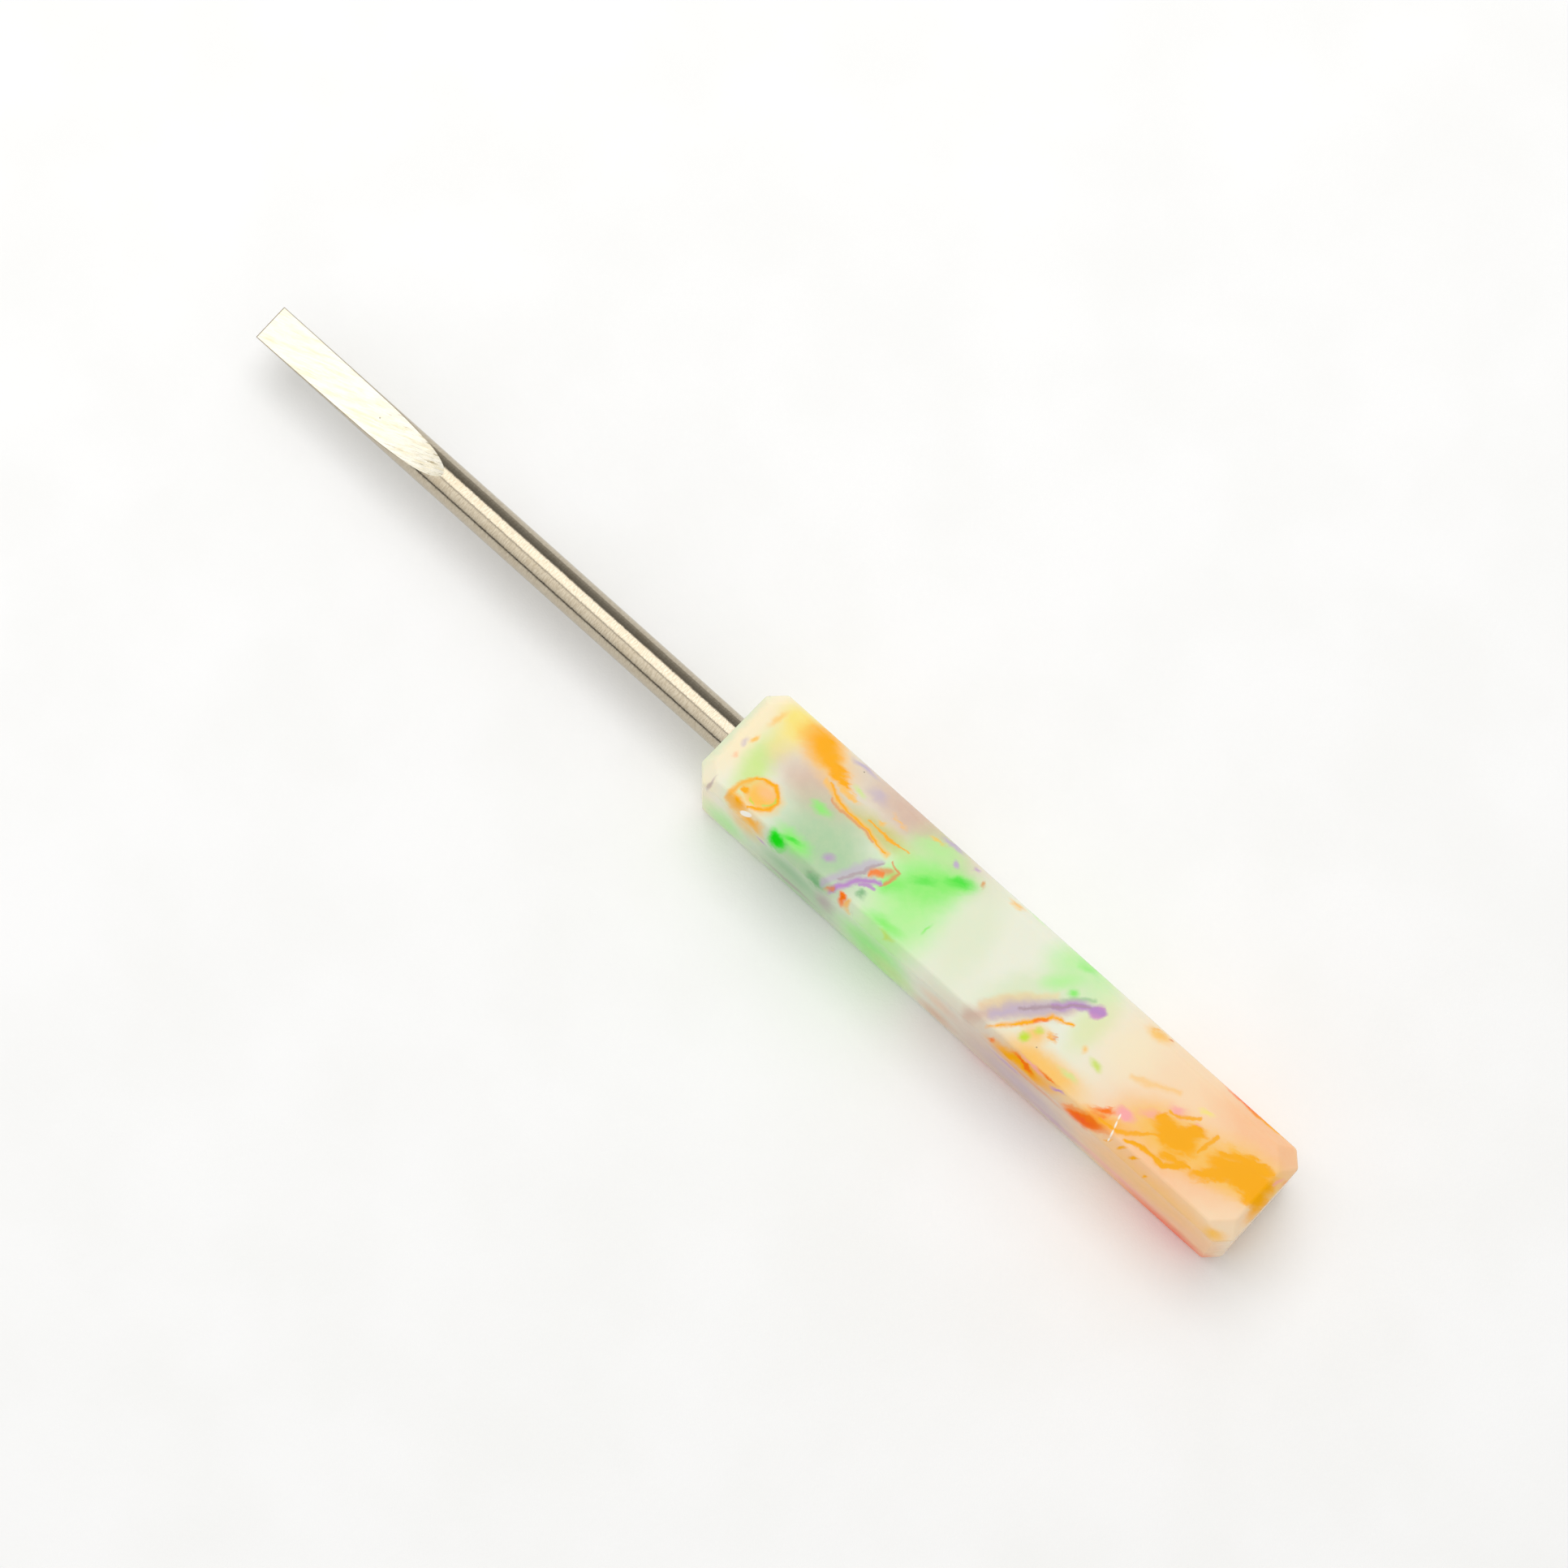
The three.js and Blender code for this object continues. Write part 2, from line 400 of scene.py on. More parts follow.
def new_material(name):
    material = bpy.data.materials.new(name)
    material.use_nodes = True
    tree = material.node_tree
    tree.nodes.clear()
    shader = tree.nodes.new("ShaderNodeBsdfPrincipled")
    output = tree.nodes.new("ShaderNodeOutputMaterial")
    tree.links.new(shader.outputs[0], output.inputs["Surface"])
    return material, tree, shader


def place_in_mm(tree):
    coordinates = tree.nodes.new("ShaderNodeTexCoord").outputs["Object"]
    return vector_maths(tree, "MULTIPLY", coordinates, (1 / MM, 1 / MM, 1 / MM))


# ---------------------------------------------------------------- swirled resin
CREAM = (252, 236, 200)
PEACH = (255, 219, 180)
SALMON = (255, 198, 152)
MILK = (236, 238, 220)
MINT = (222, 233, 200)
GREY_GREEN = (176, 208, 166)
LEAF = (138, 240, 108)
PALE_LEAF = (180, 244, 152)
BRIGHT_GREEN = (10, 226, 0)
DARK_GREEN = (120, 180, 124)
LIME = (200, 226, 60)
PALE_LIME = (208, 234, 144)
OLIVE = (208, 200, 116)
YELLOW = (251, 230, 130)
AMBER = (255, 196, 88)
ORANGE = (255, 176, 0)
RED_ORANGE = (255, 122, 0)
HOT_RED = (255, 92, 48)
RUST = (228, 146, 90)
MAUVE = (216, 186, 168)
LAVENDER = (196, 180, 204)
PURPLE = (190, 142, 202)
DEEP_PURPLE = (204, 128, 202)
PLUM_GREY = (176, 150, 156)
PINK = (255, 172, 172)
# White of the small fleck and the thin streak near the handle's surface.
WHITE_FLECK = (255, 248, 236)
SPECK = (90, 80, 70)

# Places in the resin are (along the handle from its front, across towards +Y, height).
# Turn 0 runs along the handle, and a positive turn leads rearwards towards +Y.
TOP, SIDE = HANDLE_TOP, FRONT_HALF_WIDTH
THROUGH = 40
RAGGED_REACH = {1: 0.5, 2: 1.1, 3: 2.2}
WARPS = ((0.14, 2, 1.8), (0.7, 3, 0.8))  # (noise scale, detail, reach)
ZONE_SOFTNESS = 0.8
LEAN = math.radians(32)

# Broad soft zones: (colour, along, across, height, half-length, half-breadth, half-depth,
# turn in degrees, strength).
ZONES = [
    (CREAM, 1.4, -1, 6, 4.4, 11, THROUGH, 0, 1),
    (MINT, -0.4, 0, 6, 1.9, 11, THROUGH, 0, 0.9),
    (PALE_LIME, 4.9, 1.6, 9, 3.0, 7.2, 12, -10, 1),
    (YELLOW, 4.9, -5.4, TOP, 3.8, 3.8, 8, 0, 1),
    (YELLOW, 5.4, -2.4, TOP, 2.6, 3.2, 6, 0, 0.6),
    (MAUVE, 12.0, -0.6, TOP, 9.0, 4.2, 9, 4, 0.9),
    (GREY_GREEN, 16.6, 3.6, 6, 10.6, 7.6, THROUGH, 3, 1),
    (MAUVE, 22, -5.8, 8, 15.5, 5.4, 16, 2, 1),
    (OLIVE, 20.4, -1.9, TOP, 7.4, 2.0, 5, -3, 0.85),
    (PALE_LEAF, 27.8, 1.6, 4, 7.2, 12, THROUGH, -14, 1),
    (LEAF, 28.2, -1.4, TOP, 7.2, 3.8, 8, -42, 0.85),
    (MINT, 35.0, 0, 6, 4.4, 11, THROUGH, -16, 0.6),
    (PALE_LEAF, 46.8, -5.6, TOP, 6.0, 5.0, 12, -12, 0.8),
    (MINT, 44.6, -0.4, TOP, 9.5, 3.6, 8, -52, 1),
    (PALE_LIME, 51.4, -1.8, TOP, 2.8, 5.6, 6, 0, 0.5),
    (PEACH, 69.0, 0, 6, 21, 26, THROUGH, -30, 1),
    (CREAM, 56.5, -2.5, TOP, 5.0, 5.0, 6, 0, 0.5),
    (SALMON, 73.5, -5.4, TOP, 10.5, 4.6, 14, -3, 1),
    (SALMON, 67.0, 2.6, TOP, 14.0, 5.6, 9, -12, 0.9),
    (AMBER, 66.0, 1.8, TOP, 9.0, 4.2, 6, -14, 0.9),
    (AMBER, 74.0, -0.8, TOP, 8.0, 4.2, 6, -14, 0.9),
    (SALMON, 66, 6.4, 8, 14, 3.4, 8, 0, 0.9),
    (AMBER, 50.5, 5.8, TOP, 8.4, 3.4, 4, -8, 0.95),
]

# Blobs: (colour, along, across, height, half-length, half-breadth, half-depth, turn,
# softness, strength, raggedness), with the raggedness as a level in RAGGED_REACH.
BLOBS = [
    # front end, -Y half
    (AMBER, 9.8, -4.6, TOP, 6.2, 3.4, 6, 8, 0.95, 1, 1),
    (ORANGE, 8.6, -5.2, TOP, 4.2, 3.0, 5, 12, 0.85, 1, 2),
    (ORANGE, 11.4, -4.2, TOP, 3.8, 1.5, 4, 14, 0.8, 1, 3),
    (ORANGE, 13.2, -3.7, TOP, 1.6, 0.75, 3, 14, 0.6, 1, 3),
    (AMBER, 14.4, -2.9, TOP, 2.6, 0.5, 2, 2, 0.9, 0.9, 3),
    (AMBER, 3.0, -3.8, TOP, 0.7, 2.0, 2, 8, 0.95, 0.6, 1),
    (AMBER, 2.6, -0.7, TOP, 0.5, 1.0, 2, 12, 0.95, 0.9, 1),
    (LAVENDER, 2.0, 0.4, TOP, 0.5, 1.0, 2, 0, 0.95, 0.5, 1),
    (SALMON, 2.3, 2.3, TOP, 0.6, 0.8, 1, 0, 0.95, 0.7, 1),
    (PLUM_GREY, 2.4, 6.6, 11.6, 0.35, 1.4, 3, 0, 0.9, 0.6, 1),
    (LAVENDER, 17.2, -4.9, TOP, 2.0, 1.0, 2, 5, 0.95, 0.6, 2),
    (LAVENDER, 14.0, -6.4, 12, 2.6, 0.6, 2, 0, 0.9, 0.9, 1),
    (AMBER, 20.6, -4.4, TOP, 1.6, 0.5, 1, 2, 0.95, 0.9, 3),
    (AMBER, 25.3, -5.7, TOP, 1.4, 0.45, 1, -12, 0.95, 1, 3),
    (AMBER, 19.3, -2.9, TOP, 0.8, 0.4, 1, -20, 0.9, 0.8, 2),
    (PALE_LIME, 15.3, -3.9, TOP, 1.3, 0.6, 1, 10, 0.95, 0.9, 2),
    (LEAF, 13.4, 0.2, TOP, 2.2, 0.9, 2, -4, 0.95, 0.8, 2),
    (PALE_LEAF, 26.0, -5.0, TOP, 5.0, 1.6, 3, -20, 0.95, 0.6, 2),
    (LAVENDER, 26.8, -6.5, 12, 2.2, 0.5, 2, -4, 0.9, 0.9, 2),
    (PURPLE, 30.6, -6.4, 12, 0.8, 0.4, 1, -25, 0.9, 0.6, 2),
    (LAVENDER, 28.5, -5.1, TOP, 0.8, 0.4, 1, 10, 0.8, 1, 1),
    (RUST, 32.4, -5.4, TOP, 0.45, 0.6, 1, 10, 0.9, 0.9, 2),
    (AMBER, 36.5, -6.2, 12.2, 1.8, 0.5, 1, -8, 0.95, 0.9, 2),
    # the long green patch across the middle
    (LEAF, 29.6, -3.0, TOP, 4.4, 1.7, 4, -38, 0.95, 1, 2),
    (BRIGHT_GREEN, 30.4, -3.9, TOP, 2.2, 1.0, 2, -34, 1, 0.75, 2),
    (BRIGHT_GREEN, 27.4, -1.2, TOP, 2.4, 0.9, 2, -42, 1, 0.5, 2),
    (LEAF, 25.0, 1.6, TOP, 2.2, 1.4, 3, -50, 0.95, 0.9, 2),
    (LEAF, 27.4, 5.4, TOP, 3.8, 1.3, 4, -6, 1, 0.9, 2),
    (LIME, 28.4, 6.3, 12, 1.5, 0.6, 2, 0, 0.95, 0.7, 2),
    (LEAF, 31.1, 2.7, TOP, 0.3, 1.3, 1, 12, 0.9, 0.8, 1),
    (DARK_GREEN, 23.2, 4.5, TOP, 1.0, 0.9, 1.5, -20, 0.95, 0.9, 2),
    # grey-green block at the front, +Y half
    (LEAF, 13.8, 5.2, TOP, 3.8, 1.7, 4, 4, 1, 1, 2),
    (BRIGHT_GREEN, 12.3, 6.2, 12, 1.9, 1.15, 3, 6, 0.75, 1, 2),
    (BRIGHT_GREEN, 13.6, 5.1, TOP, 1.7, 0.5, 2, -10, 1, 0.7, 2),
    (DARK_GREEN, 18.3, 6.7, 11.8, 2.2, 0.8, 3, 0, 0.95, 0.9, 1),
    (PURPLE, 17.7, 4.0, TOP, 1.1, 0.75, 1.5, -12, 0.9, 0.7, 1),
    # the loop's filling
    (AMBER, 7.8, 3.9, TOP, 3.0, 2.6, 3, 0, 0.7, 1, 1),
    (SALMON, 7.9, 3.2, TOP, 1.6, 1.2, 1, 0, 0.9, 0.6, 1),
    (ORANGE, 6.2, 6.2, TOP, 2.0, 1.1, 2, 10, 0.9, 1, 2),
    (ORANGE, 8.8, 6.9, 12, 2.6, 0.7, 2, 4, 0.95, 0.8, 2),
    (ORANGE, 6.1, 4.6, TOP, 0.7, 0.6, 1, 0, 0.7, 1, 2),
    (LIME, 7.4, 5.0, TOP, 0.7, 0.25, 1, 30, 0.9, 0.8, 1),
    # purple comet
    (LEAF, 47.3, -3.2, TOP, 0.9, 0.8, 2, 0, 0.95, 0.9, 1),
    (PALE_LEAF, 45.6, -3.4, TOP, 3.6, 1.4, 4, -47, 0.95, 0.8, 1),
    (LEAF, 46.8, -6.3, 12, 1.6, 0.8, 3, 0, 0.95, 0.6, 1),
    (DEEP_PURPLE, 50.8, -3.2, TOP, 1.0, 1.2, 2, 20, 0.55, 0.85, 1),
    # orange and lime bits behind it
    (AMBER, 47.6, 3.2, TOP, 2.6, 2.0, 2, -40, 0.95, 0.8, 1),
    (LIME, 46.9, 4.3, TOP, 0.95, 1.1, 2, 20, 0.8, 1, 1),
    (LIME, 47.6, 2.6, TOP, 0.7, 1.0, 1, 20, 0.95, 0.7, 1),
    (ORANGE, 49.2, 2.2, TOP, 1.1, 0.55, 1, 35, 0.85, 0.9, 3),
    (RUST, 49.4, 1.9, TOP, 0.6, 0.3, 1, 35, 0.9, 0.8, 3),
    (LIME, 54.7, 1.4, TOP, 1.4, 0.65, 1, 6, 0.95, 0.8, 1),
    (AMBER, 52.6, 0.9, TOP, 0.8, 0.7, 1, 20, 0.95, 0.7, 1),
    (PALE_LIME, 53.0, 4.2, TOP, 2.0, 0.6, 1, 0, 0.95, 0.7, 1),
    (AMBER, 57.6, -5.8, TOP, 2.4, 1.3, 2, -10, 0.95, 0.9, 1),
    (ORANGE, 57.2, -6.3, 12.2, 1.3, 0.55, 1, -24, 0.85, 1, 3),
    (RUST, 58.9, -6.3, 12.3, 0.6, 0.25, 1, -15, 0.7, 1, 1),
    # orange along the +Y bevel
    (ORANGE, 48.4, 6.8, 11.8, 6.2, 0.85, 3, -3, 0.8, 1, 1),
    (RED_ORANGE, 49.0, 6.6, 12, 2.4, 0.3, 1, 6, 0.7, 1, 2),
    (RED_ORANGE, 51.6, 5.8, TOP, 2.0, 0.2, 1, -2, 0.8, 0.9, 1),
    (RED_ORANGE, 44.3, 6.9, 11.8, 0.9, 0.3, 1, 0, 0.8, 0.8, 1),
    (PURPLE, 53.2, 6.2, 12.3, 1.5, 0.25, 1, -8, 0.9, 0.9, 1),
    (PINK, 49.6, 6.05, 12.3, 2.6, 0.3, 1, 0, 0.9, 0.8, 1),
    # red-orange wedge and the pink patch
    (ORANGE, 58.6, 5.6, TOP, 5.2, 1.6, 3, -20, 0.9, 0.9, 2),
    (RED_ORANGE, 57.4, 6.5, 12, 3.8, 1.0, 2.5, -12, 0.7, 1, 2),
    (HOT_RED, 57.2, 6.7, 12, 2.2, 0.55, 1.5, -10, 0.95, 0.7, 2),
    (RED_ORANGE, 58.6, 4.5, TOP, 2.0, 0.8, 2, -40, 0.85, 1, 3),
    (PINK, 60.6, 3.2, TOP, 1.7, 0.95, 1.5, -16, 0.7, 1, 1),
    (PINK, 62.8, 1.2, TOP, 2.2, 0.8, 1.5, -35, 0.95, 0.8, 2),
    (PINK, 64.6, -0.9, TOP, 1.5, 0.9, 1, -15, 0.95, 0.9, 2),
    (PINK, 67.2, -1.0, TOP, 0.8, 0.5, 1, -20, 0.9, 0.7, 2),
    # the two large orange masses near the rear
    (YELLOW, 66.9, -2.7, TOP, 1.3, 0.6, 1, -6, 0.9, 0.9, 2),
    (AMBER, 66.2, 1.3, TOP, 5.4, 3.0, 3, -12, 0.95, 1, 2),
    (AMBER, 73.6, 0.2, TOP, 6.6, 3.2, 3, -22, 0.95, 1, 2),
    (ORANGE, 66.0, 1.4, TOP, 3.4, 1.9, 3, -10, 0.45, 1, 3),
    (ORANGE, 67.2, -0.3, TOP, 2.2, 0.8, 2, -24, 0.6, 1, 3),
    (ORANGE, 63.9, 0.9, TOP, 1.2, 0.7, 2, 10, 0.6, 1, 3),
    (ORANGE, 67.4, 3.3, TOP, 2.4, 0.8, 2, -16, 0.75, 1, 3),
    (ORANGE, 74.0, -0.4, TOP, 4.8, 1.7, 3, -16, 0.4, 1, 3),
    (ORANGE, 74.4, -2.2, TOP, 3.8, 1.0, 2, -12, 0.6, 1, 3),
    (ORANGE, 71.4, 1.8, TOP, 3.6, 1.0, 2, -36, 0.6, 1, 3),
    (ORANGE, 76.4, 0.4, TOP, 2.2, 1.6, 3, -10, 0.6, 1, 3),
    (AMBER, 72.2, -2.0, TOP, 2.6, 0.5, 1, -12, 0.95, 0.9, 3),
    (ORANGE, 77.6, 1.0, 11.6, 0.9, 3.0, 3, 0, 0.9, 0.8, 2),
    (AMBER, 76.0, 6.2, 12, 2.0, 1.1, 2, -30, 0.95, 0.9, 2),
    (ORANGE, 72.5, -6.95, 11.6, 6.6, 0.4, 1, 0, 0.95, 1, 1),
    (HOT_RED, 69.5, -7.0, 11.2, 5.4, 0.4, 1, 0, 0.95, 0.8, 1),
]

# Diagonal dashes on the +Y bevel: (distance from the front, across, half-length).
BEVEL_DASHES = [(60.6, 6.6, 0.8), (62.5, 6.4, 0.9), (64.1, 6.2, 0.9), (63.5, 7.0, 0.4),
                (66.4, 6.8, 0.5)]

# Trails are thin curved strokes: (colour, half-width, softness, strength, points along
# the top face).
TRAILS = [
    (AMBER, 0.7, 1, 0.8, [(11.6, -2.4), (14.8, -1.6), (17.5, -1.0), (22.4, -0.7)]),
    (ORANGE, 0.28, 0.95, 0.9, [(12.4, -2.5), (14.8, -1.6), (17.5, -1.0), (22.0, -0.7)]),
    (RUST, 0.25, 0.9, 0.7, [(13.6, -1.4), (17.0, -0.7), (20.4, -0.5)]),
    (ORANGE, 0.2, 0.8, 0.9, [(18.0, -1.95), (21.0, -2.1), (24.2, -2.5)]),
    (AMBER, 0.3, 0.9, 0.7, [(14.0, -2.6), (15.8, -2.8)]),
    # hook and its purple partner
    (LAVENDER, 0.9, 0.8, 0.7, [(22.6, 0.4), (20.8, 3.0), (19.2, 6.2)]),
    (PLUM_GREY, 0.35, 0.8, 0.6, [(22.9, 0.2), (21.6, 2.4), (20.0, 5.0)]),
    (RUST, 0.28, 0.95, 0.9, [(23.6, -0.5), (24.8, 0.1), (24.8, 1.2), (24.2, 2.3)]),
    (RUST, 0.7, 0.9, 0.8, [(24.2, 0.6), (22.6, 1.8)]),
    (RED_ORANGE, 0.4, 0.8, 0.7, [(23.8, 1.2), (22.9, 1.5), (22.4, 2.1)]),
    (PURPLE, 0.65, 0.95, 1, [(24.0, 2.1), (22.5, 2.9), (21.3, 4.4), (20.3, 6.4)]),
    (PURPLE, 0.34, 0.8, 0.9, [(24.1, 3.1), (23.0, 3.2), (22.2, 4.0)]),
    (RUST, 0.35, 0.8, 0.9, [(20.4, 6.2), (19.0, 7.2)]),
    (RED_ORANGE, 0.45, 0.8, 1, [(21.4, 5.9), (22.2, 6.5), (22.6, 7.3)]),
    (ORANGE, 0.5, 0.9, 0.8, [(22.6, 6.3), (23.4, 7.0)]),
    (PLUM_GREY, 0.3, 0.9, 0.8, [(17.4, 6.5), (16.4, 7.2)]),
    (PLUM_GREY, 0.3, 0.9, 0.8, [(23.6, 6.6), (24.3, 7.1)]),
    # loop near the front
    (ORANGE, 0.4, 0.85, 1, [(5.9, 2.9), (7.9, 2.05), (9.2, 3.0), (9.4, 4.4), (8.4, 5.3),
                            (7.4, 6.0)]),
    (ORANGE, 0.6, 0.95, 0.8, [(5.9, 2.9), (5.2, 4.4), (5.1, 6.4), (7.0, 7.2)]),
    (LEAF, 0.2, 0.9, 0.5, [(9.0, 3.0), (9.3, 3.9), (8.6, 4.6)]),
    # comet and its tail
    (DARK_GREEN, 0.5, 0.95, 0.5, [(49.6, -3.9), (47.8, -2.6), (46.6, -1.2)]),
    (MAUVE, 1.9, 1, 0.9, [(48.4, -1.8), (45.8, 0.8), (43.2, 3.8), (40.8, 6.4)]),
    (LAVENDER, 1.2, 1, 0.8, [(49.2, -2.6), (47.0, -0.8), (44.8, 2.0), (42.4, 5.0)]),
    (PURPLE, 0.8, 0.9, 0.95, [(51.2, -3.5), (49.4, -2.8), (48.0, -1.9), (46.8, -0.7)]),
    (PLUM_GREY, 0.4, 1, 0.8, [(49.8, -3.1), (48.2, -2.0), (46.4, -0.2), (44.4, 2.4)]),
    (AMBER, 0.8, 1, 0.25, [(46.2, -2.0), (43.4, 1.4), (41.0, 4.8)]),
    (ORANGE, 0.5, 1, 0.9, [(49.8, -0.3), (47.4, 0.4), (46.4, 2.2), (44.8, 4.4),
                           (42.9, 6.4)]),
    (ORANGE, 0.18, 0.7, 1, [(49.8, -0.3), (47.4, 0.4), (46.4, 2.2), (44.8, 4.4),
                            (42.9, 6.4)]),
    (RED_ORANGE, 0.4, 0.8, 0.8, [(47.1, 1.1), (46.6, 2.0)]),
    # arms of the orange masses
    (ORANGE, 0.42, 0.6, 1, [(69.0, 2.8), (66.8, 4.4), (64.4, 4.6), (62.2, 5.4)]),
    (ORANGE, 0.32, 0.7, 0.9, [(64.6, 2.6), (62.6, 4.0), (60.8, 5.2), (58.6, 5.4)]),
    (ORANGE, 0.3, 0.7, 0.9, [(69.0, 0.9), (69.3, -0.6), (69.6, -1.6)]),
    (ORANGE, 0.36, 0.7, 0.9, [(70.8, -0.6), (73.2, -1.8), (76.4, -2.9)]),
    (ORANGE, 0.3, 0.8, 0.9, [(64.0, -0.2), (65.6, -1.0), (67.0, -1.9)]),
    (AMBER, 0.6, 1, 0.5, [(58.4, -0.2), (60.6, -0.9), (63.4, -2.4)]),
    (PINK, 0.4, 0.9, 0.8, [(77.4, -3.2), (77.3, -2.0)]),
]
CURVE_STEPS = 2


def curved(points):
    """Extra points between the given ones, on a Catmull-Rom curve."""
    ends = [points[0], *points, points[-1]]
    smooth = []
    for a, b, c, d in zip(ends, ends[1:], ends[2:], ends[3:]):
        a, b, c, d = Vector(a), Vector(b), Vector(c), Vector(d)
        for i in range(CURVE_STEPS):
            t = i / CURVE_STEPS
            bend = (2 * a - 5 * b + 4 * c - d) * t + (3 * b - a - 3 * c + d) * t * t
            smooth.append(b + 0.5 * t * (c - a + bend))
    return smooth + [Vector(points[-1])]


def new_group(name, sockets, output):
    group = bpy.data.node_groups.new(name, "ShaderNodeTree")
    for socket, kind in sockets:
        group.interface.new_socket(socket, in_out="INPUT", socket_type="NodeSocket" + kind)
    group.interface.new_socket(output, in_out="OUTPUT", socket_type="NodeSocketFloat")
    return group, group.nodes.new("NodeGroupInput").outputs


def finish_group(group, socket):
    output = group.nodes.new("NodeGroupOutput")
    group.links.new(socket, output.inputs[0])
    return group


def ellipsoid_group():
    """Distance from an ellipsoid's centre, where 1 is its surface."""
    sockets = [("Place", "Vector"), ("Centre", "Vector"), ("Size", "Vector"), ("Turn", "Float")]
    group, given = new_group("ellipsoid_reach", sockets, "Reach")
    offset = vector_maths(group, "SUBTRACT", given["Place"], given["Centre"])
    turned_offset = add_node(group, "ShaderNodeVectorRotate",
                             {"Vector": offset, "Angle": given["Turn"]},
                             rotation_type="Z_AXIS", invert=True).outputs[0]
    scaled = vector_maths(group, "DIVIDE", turned_offset, given["Size"])
    return finish_group(group, vector_maths(group, "LENGTH", scaled))


def trail_group(points, half_width):
    """Distance from a curved line through the points, where 1 is the stroke's edge. The
    stroke tapers at its ends, and reaches three times as deep as it is wide."""
    group, given = new_group("trail_reach", [("Place", "Vector")], "Reach")
    line = [Vector((along, across, TOP)) for along, across in curved(points)]
    reach = None
    for i, (start, end) in enumerate(zip(line, line[1:])):
        run = end - start
        taper = math.sin(math.pi * (i + 0.5) / (len(line) - 1)) ** 0.5
        width = half_width * (0.45 + 0.7 * taper)
        offset = vector_maths(group, "SUBTRACT", given["Place"], start)
        share = vector_maths(group, "DOT_PRODUCT", offset, run / run.length_squared)
        share = maths(group, "MAXIMUM", maths(group, "MINIMUM", share, 1.0), 0.0)
        nearest = add_node(group, "ShaderNodeVectorMath", {0: run, "Scale": share},
                           operation="SCALE").outputs["Vector"]
        gap = vector_maths(group, "SUBTRACT", offset, nearest)
        scaled = vector_maths(group, "MULTIPLY", gap, (1 / width, 1 / width, 0.33 / width))
        segment = vector_maths(group, "LENGTH", scaled)
        reach = segment if reach is None else maths(group, "MINIMUM", reach, segment)
    return finish_group(group, reach)


class Resin:
    """Paints strokes of pigment one over another."""

    def __init__(self, tree, colour):
        self.tree = tree
        self.ellipsoid = ellipsoid_group()
        self.colour = colour
        across_flip = (-1 / MM, 1 / MM, 1 / MM)
        coordinates = tree.nodes.new("ShaderNodeTexCoord").outputs["Object"]
        scaled = vector_maths(tree, "MULTIPLY", coordinates, across_flip)
        self.place = vector_maths(tree, "ADD", scaled, (FRONT_X, 0, 0))
        warped = self.place
        for scale, detail, reach in WARPS:
            warped = self.moved(warped, self.drift(warped, scale, detail), reach)
        # Drawn-out wisps that make the edges of the strokes ragged. A shader holds few values
        # at once, so every place passes through them, even the flat one, which stays put.
        wisps = self.drift(stretched(tree, warped, (0.45, 1.3, 0.6), 25), 1.0, 4)
        self.flat = self.moved(self.place, wisps, 0)
        self.places = {level: self.moved(warped, wisps, reach)
                       for level, reach in RAGGED_REACH.items()}
        self.leaning = add_node(tree, "ShaderNodeVectorRotate",
                                {"Vector": self.places[3], "Angle": LEAN},
                                rotation_type="Y_AXIS").outputs[0]

    def leant(self, *place):
        """A place in the resin as it is in the leaning coordinates."""
        return Matrix.Rotation(LEAN, 3, "Y") @ Vector(place)

    def drift(self, place, scale, detail):
        field = noise(self.tree, place, scale, detail, 0.58, "Color")
        return vector_maths(self.tree, "SUBTRACT", field, (0.5, 0.5, 0.5))

    def moved(self, place, drift, reach):
        return vector_maths(self.tree, "MULTIPLY_ADD", drift, (reach, reach, reach), place)

    def group_node(self, group, inputs):
        node = add_node(self.tree, "ShaderNodeGroup", node_tree=group)
        for name, value in inputs.items():
            if isinstance(value, bpy.types.NodeSocket):
                self.tree.links.new(value, node.inputs[name])
            else:
                node.inputs[name].default_value = value
        return node.outputs[0]

    def lay(self, colour, reach, softness, strength):
        cover = smooth_step(self.tree, reach, 1.0, 1.0 - softness, 0.0, strength)
        self.colour = blend_colour(self.tree, cover, self.colour, linear(*colour))

    def stroke(self, colour, along, across, height, length, breadth, depth, turn, softness,
               strength, raggedness=1, place=None):
        reach = self.group_node(self.ellipsoid, {
            "Place": place or self.places[raggedness],
            "Centre": (along, across, height),
            "Size": (length, breadth, depth),
            "Turn": math.radians(turn),
        })
        self.lay(colour, reach, softness, strength)

    def trail(self, colour, half_width, softness, strength, points):
        reach = self.group_node(trail_group(points, half_width), {"Place": self.places[1]})
        self.lay(colour, reach, softness, strength)


